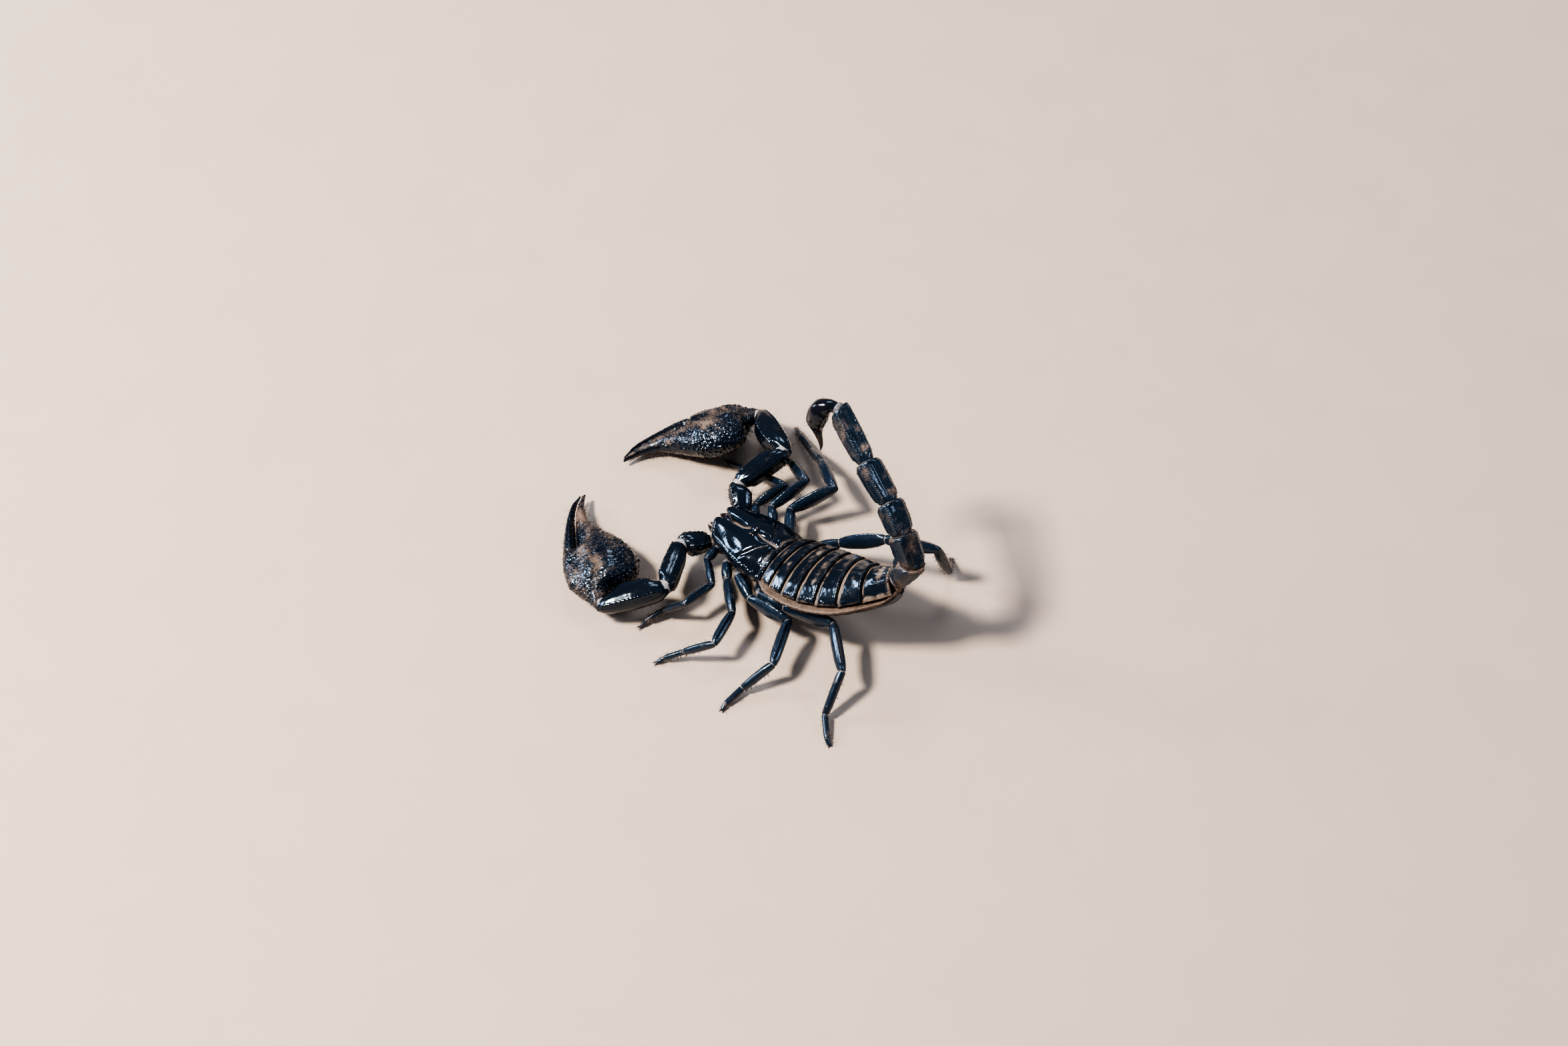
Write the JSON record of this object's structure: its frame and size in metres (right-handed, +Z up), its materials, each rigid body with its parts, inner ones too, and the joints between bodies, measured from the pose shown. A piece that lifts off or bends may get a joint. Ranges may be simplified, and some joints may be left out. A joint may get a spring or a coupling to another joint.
{
  "type": "forest scorpion model",
  "caption": "Life-size still model of a large glossy black forest scorpion in threat stance, broad claws forward and tail arched over its back, standing on its feet",
  "frame": {"origin": "on the floor, under the centre of the bounding box", "axes": "+Z up; the head looks roughly along -Y (262 degrees from +X); the animal's left side is towards +X; the tail end is at +Y"},
  "size_m": [0.0834, 0.0956, 0.0588],
  "materials": {
    "black_shell": "glossy blue-black shell with dust in its furrows",
    "leg_shell": "satin slate-black leg shell",
    "granular_shell": "granular blackish shell, dusty brown between the granules",
    "joint_membrane": "soft tan skin between the plates, dull",
    "eye_bead": "polished black lens"
  },
  "bodies": {
    "root": {"abdomen_membrane": "joint_membrane", "carapace": "black_shell", "cephalothorax_underside": "leg_shell", "chelicera_left": "granular_shell", "chelicera_right": "granular_shell", "leg_left_1_femur": "leg_shell", "leg_left_1_patella": "leg_shell", "leg_left_1_tibia": "leg_shell", "leg_left_2_femur": "leg_shell", "leg_left_2_patella": "leg_shell", "leg_left_2_tibia": "leg_shell", "leg_left_3_femur": "leg_shell", "leg_left_3_patella": "leg_shell", "leg_left_3_tibia": "leg_shell", "leg_left_4_femur": "leg_shell", "leg_left_4_patella": "leg_shell", "leg_left_4_tibia": "leg_shell", "leg_right_1_femur": "leg_shell", "leg_right_1_patella": "leg_shell", "leg_right_1_tibia": "leg_shell", "leg_right_2_femur": "leg_shell", "leg_right_2_patella": "leg_shell", "leg_right_2_tibia": "leg_shell", "leg_right_3_femur": "leg_shell", "leg_right_3_patella": "leg_shell", "leg_right_3_tibia": "leg_shell", "leg_right_4_femur": "leg_shell", "leg_right_4_patella": "leg_shell", "leg_right_4_tibia": "leg_shell", "median_eye_left": "eye_bead", "median_eye_right": "eye_bead", "metasoma_1": "black_shell", "metasoma_2": "black_shell", "metasoma_3": "black_shell", "metasoma_4": "black_shell", "metasoma_5": "black_shell", "pectines": "joint_membrane", "pedipalp_femur_left": "black_shell", "pedipalp_femur_right": "black_shell", "pedipalp_finger_left": "granular_shell", "pedipalp_finger_right": "granular_shell", "pedipalp_hand_left": "granular_shell", "pedipalp_hand_right": "granular_shell", "pedipalp_patella_left": "black_shell", "pedipalp_patella_right": "black_shell", "pedipalp_trochanter_left": "black_shell", "pedipalp_trochanter_right": "black_shell", "sternite_3": "leg_shell", "sternite_4": "leg_shell", "sternite_5": "leg_shell", "sternite_6": "leg_shell", "sternite_7": "leg_shell", "telson": "granular_shell", "tergite_1": "black_shell", "tergite_2": "black_shell", "tergite_3": "black_shell", "tergite_4": "black_shell", "tergite_5": "black_shell", "tergite_6": "black_shell", "tergite_7": "black_shell"}
  },
  "joints": []
}
